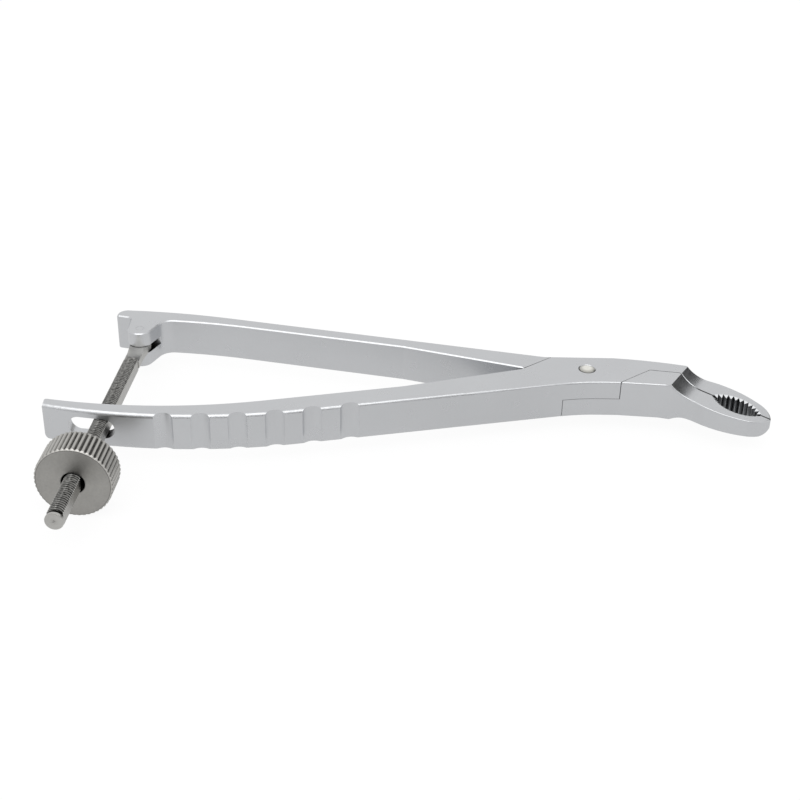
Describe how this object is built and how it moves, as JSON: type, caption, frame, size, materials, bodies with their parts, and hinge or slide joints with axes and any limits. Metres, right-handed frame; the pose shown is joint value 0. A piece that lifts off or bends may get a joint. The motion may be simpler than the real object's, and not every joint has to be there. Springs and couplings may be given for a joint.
{
  "type": "reduction forceps",
  "caption": "Crossed-arm bone reduction forceps with angled toothed jaws and a hinged threaded spindle with a knurled nut between the handle ends.",
  "frame": {"origin": "centre of the pivot pin, midway between the two flat faces of the joint", "axes": "+X from the pivot towards the jaws, along the line of the lap's two shoulder corners; +Y towards the handle that carries the spindle hinge; +Z along the pivot"},
  "size_m": [0.1923, 0.0988, 0.0196],
  "materials": {
    "satin_steel": "satin",
    "polished_steel": "polished",
    "spindle_steel": "machined",
    "nut_steel": "turned"
  },
  "bodies": {
    "near_arm": {"near_arm": "satin_steel", "pivot_pin": "polished_steel"},
    "far_arm": {"far_arm": "satin_steel", "spindle_pin": "satin_steel"},
    "spindle": {"spindle": "spindle_steel"},
    "nut": {"knurled_nut": "nut_steel"}
  },
  "joints": [
    {"name": "handle_pivot", "type": "hinge", "parent": "near_arm", "child": "far_arm", "pos_m": [0, 0, 0], "axis": [0, 0, -1], "range_deg": [0, 14]},
    {"name": "spindle_swing", "type": "hinge", "parent": "far_arm", "child": "spindle", "pos_m": [-0.1252, 0.019, 0], "axis": [0, 0, 1], "range_deg": [0, 9.7]},
    {"name": "nut_travel", "type": "slide", "parent": "spindle", "child": "nut", "axis": [-0.0793, -0.9968, 0], "range_m": [0, 0.0161]}
  ],
  "couplings": [
    {"joint": "spindle_swing", "follows": "handle_pivot", "ratio": 0.685},
    {"joint": "nut_travel", "follows": "handle_pivot", "m_per_rad": 0.0655}
  ]
}
